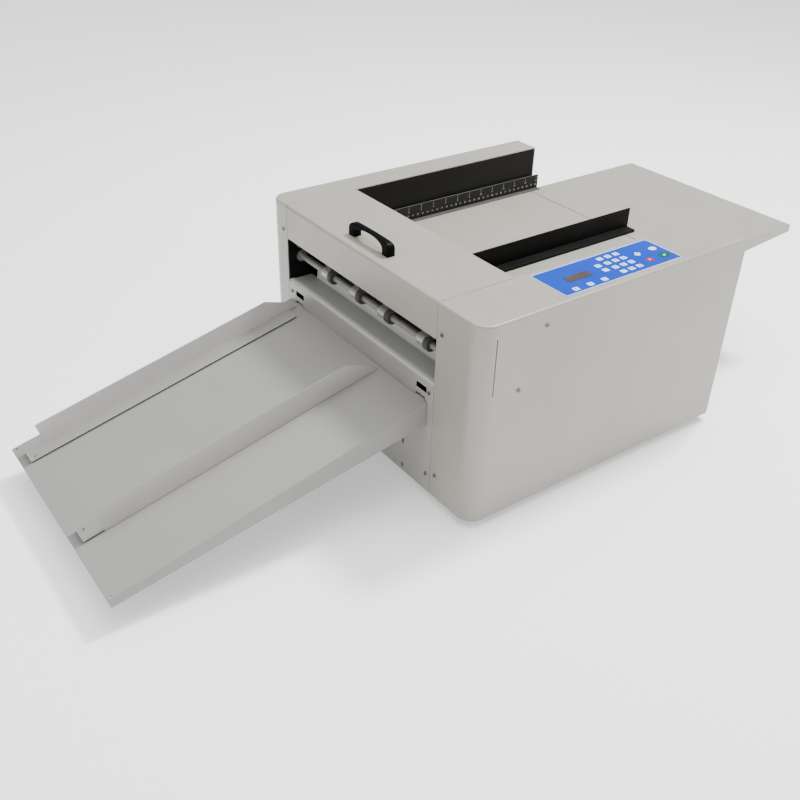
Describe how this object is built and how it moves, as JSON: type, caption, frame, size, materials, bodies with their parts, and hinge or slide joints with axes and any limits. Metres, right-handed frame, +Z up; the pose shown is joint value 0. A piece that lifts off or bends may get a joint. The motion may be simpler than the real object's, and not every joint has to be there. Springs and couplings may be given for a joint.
{
  "type": "creasing machine",
  "caption": "Table-top sheet creasing machine: side housings, hinged lid over rollers and a cam-driven blade, feed table with guides, blue key panel, sloping hook-on exit tray.",
  "frame": {"origin": "centre of the overall footprint, at the underside of the rubber feet", "axes": "+Z up; -Y is the delivery side with lid handle, exit slot and tray; +Y the feed table; +X the housing with the key panel"},
  "size_m": [0.5082, 1.2082, 0.3285],
  "materials": {
    "painted_sheet": "fine-textured light warm grey enamel",
    "tray_sheet": "light grey enamel",
    "black_sheet": "satin black enamel",
    "zinc_steel": "zinc plated",
    "ground_steel": "ground",
    "tool_steel": "hardened and ground",
    "aluminium": "turned",
    "roller_rubber": "matt",
    "foot_rubber": "matt",
    "belt_rubber": "matt",
    "black_plastic": "satin",
    "ruler_black": "satin, with light scale marks",
    "motor_black": "satin",
    "circuit_board": "solder mask",
    "panel_film": "blue printed film",
    "window_film": "smoked"
  },
  "bodies": {
    "machine": {"base_plate": "zinc_steel", "rubber_feet": "foot_rubber", "left_side_plate": "black_sheet", "right_side_plate": "black_sheet", "cross_bars": "zinc_steel", "left_cover": "painted_sheet", "right_cover": "painted_sheet", "front_panel": "painted_sheet", "rear_panel": "painted_sheet", "exit_guide_plate": "zinc_steel", "feed_table": "painted_sheet", "rear_table": "painted_sheet", "ruler_guide": "zinc_steel", "ruler_strip": "ruler_black", "lid_hinge_pins": "zinc_steel", "shaft_bearings": "ground_steel", "separator_bar": "zinc_steel", "separator_plates": "tool_steel", "crease_anvil": "tool_steel", "guide_posts": "ground_steel", "return_springs": "tool_steel", "drive_motor": "motor_black", "motor_belt": "belt_rubber", "exit_belt": "belt_rubber", "feed_belt": "belt_rubber", "crease_motor": "motor_black", "crease_belt": "belt_rubber", "control_board": "circuit_board", "power_supply": "zinc_steel", "panel_overlay": "panel_film", "display_window": "window_film", "power_inlet": "black_plastic", "cover_screws": "zinc_steel", "panel_screws": "zinc_steel"},
    "lid": {"lid": "painted_sheet", "lid_handle": "black_plastic", "handle_screws": "zinc_steel"},
    "right_guide": {"right_guide": "black_sheet", "guide_magnets": "zinc_steel"},
    "exit_roller_set": {"exit_shaft": "ground_steel", "exit_rollers": "roller_rubber", "exit_roller_hubs": "aluminium"},
    "exit_idler_set": {"exit_idler_shaft": "ground_steel", "exit_idler_rollers": "roller_rubber"},
    "carry_roller_set": {"carry_shaft": "ground_steel", "carry_rollers": "roller_rubber"},
    "carry_idler_set": {"carry_idler_shaft": "ground_steel", "carry_idler_rollers": "roller_rubber"},
    "feed_roller_set": {"feed_shaft": "ground_steel", "feed_rollers": "roller_rubber"},
    "drive_motor_rotor": {"drive_motor_shaft": "ground_steel"},
    "cam_set": {"cam_shaft": "ground_steel", "lift_cams": "tool_steel"},
    "crease_motor_rotor": {"crease_motor_shaft": "ground_steel"},
    "blade_unit": {"blade_carrier": "tool_steel", "crease_blade": "tool_steel"},
    "power_rocker": {"power_switch": "black_plastic"},
    "exit_tray": {"exit_tray": "tray_sheet"},
    "left_tray_guide": {"left_tray_guide": "tray_sheet"},
    "right_tray_guide": {"right_tray_guide": "tray_sheet"}
  },
  "joints": [
    {"name": "lid_hinge", "type": "hinge", "parent": "machine", "child": "lid", "pos_m": [-0.0185, -0.03492, 0.301], "axis": [-1, 0, 0], "range_deg": [0, 95]},
    {"name": "right_guide_slide", "type": "slide", "parent": "machine", "child": "right_guide", "axis": [1, 0, 0], "range_m": [-0.115, 0.125]},
    {"name": "exit_spin", "type": "hinge", "parent": "machine", "child": "exit_roller_set", "pos_m": [-0.0185, -0.12692, 0.223], "axis": [1, 0, 0], "continuous": true},
    {"name": "exit_idler_spin", "type": "hinge", "parent": "machine", "child": "exit_idler_set", "pos_m": [-0.0185, -0.12692, 0.2444], "axis": [1, 0, 0], "continuous": true},
    {"name": "carry_spin", "type": "hinge", "parent": "machine", "child": "carry_roller_set", "pos_m": [-0.0185, -0.06692, 0.223], "axis": [1, 0, 0], "continuous": true},
    {"name": "carry_idler_spin", "type": "hinge", "parent": "machine", "child": "carry_idler_set", "pos_m": [-0.0185, -0.06692, 0.2449], "axis": [1, 0, 0], "continuous": true},
    {"name": "feed_spin", "type": "hinge", "parent": "machine", "child": "feed_roller_set", "pos_m": [-0.0185, -0.03892, 0.223], "axis": [1, 0, 0], "continuous": true},
    {"name": "drive_motor_spin", "type": "hinge", "parent": "machine", "child": "drive_motor_rotor", "pos_m": [-0.0185, -0.06692, 0.132], "axis": [1, 0, 0], "continuous": true},
    {"name": "cam_turn", "type": "hinge", "parent": "machine", "child": "cam_set", "pos_m": [-0.0185, -0.09692, 0.287], "axis": [1, 0, 0], "range_deg": [0, 150]},
    {"name": "crease_motor_turn", "type": "hinge", "parent": "machine", "child": "crease_motor_rotor", "pos_m": [-0.0185, -0.09692, 0.132], "axis": [1, 0, 0], "range_deg": [0, 150]},
    {"name": "blade_slide", "type": "slide", "parent": "machine", "child": "blade_unit", "axis": [0, 0, -1], "range_m": [0, 0.0055], "stiffness_N_per_m": 3000, "springref_m": -0.006, "deforming": ["return_springs"]},
    {"name": "power_rocker_tilt", "type": "hinge", "parent": "machine", "child": "power_rocker", "pos_m": [0.2115, 0.33508, 0.111], "axis": [1, 0, 0], "range_deg": [0, 18]},
    {"name": "exit_tray_lift", "type": "hinge", "parent": "machine", "child": "exit_tray", "pos_m": [-0.0185, -0.15017, 0.1557], "axis": [-1, 0, 0], "range_deg": [0, 20]},
    {"name": "left_tray_guide_slide", "type": "slide", "parent": "exit_tray", "child": "left_tray_guide", "axis": [1, 0, 0], "range_m": [-0.022, 0.06]},
    {"name": "right_tray_guide_slide", "type": "slide", "parent": "exit_tray", "child": "right_tray_guide", "axis": [1, 0, 0], "range_m": [-0.06, 0.09]}
  ],
  "couplings": [
    {"joint": "exit_idler_spin", "follows": "exit_spin", "ratio": -1},
    {"joint": "carry_spin", "follows": "exit_spin", "ratio": 1},
    {"joint": "carry_idler_spin", "follows": "exit_spin", "ratio": -1.3889},
    {"joint": "feed_spin", "follows": "exit_spin", "ratio": 1},
    {"joint": "drive_motor_spin", "follows": "exit_spin", "ratio": 1},
    {"joint": "cam_turn", "follows": "blade_slide", "rad_per_m": 476},
    {"joint": "crease_motor_turn", "follows": "blade_slide", "rad_per_m": 476}
  ]
}
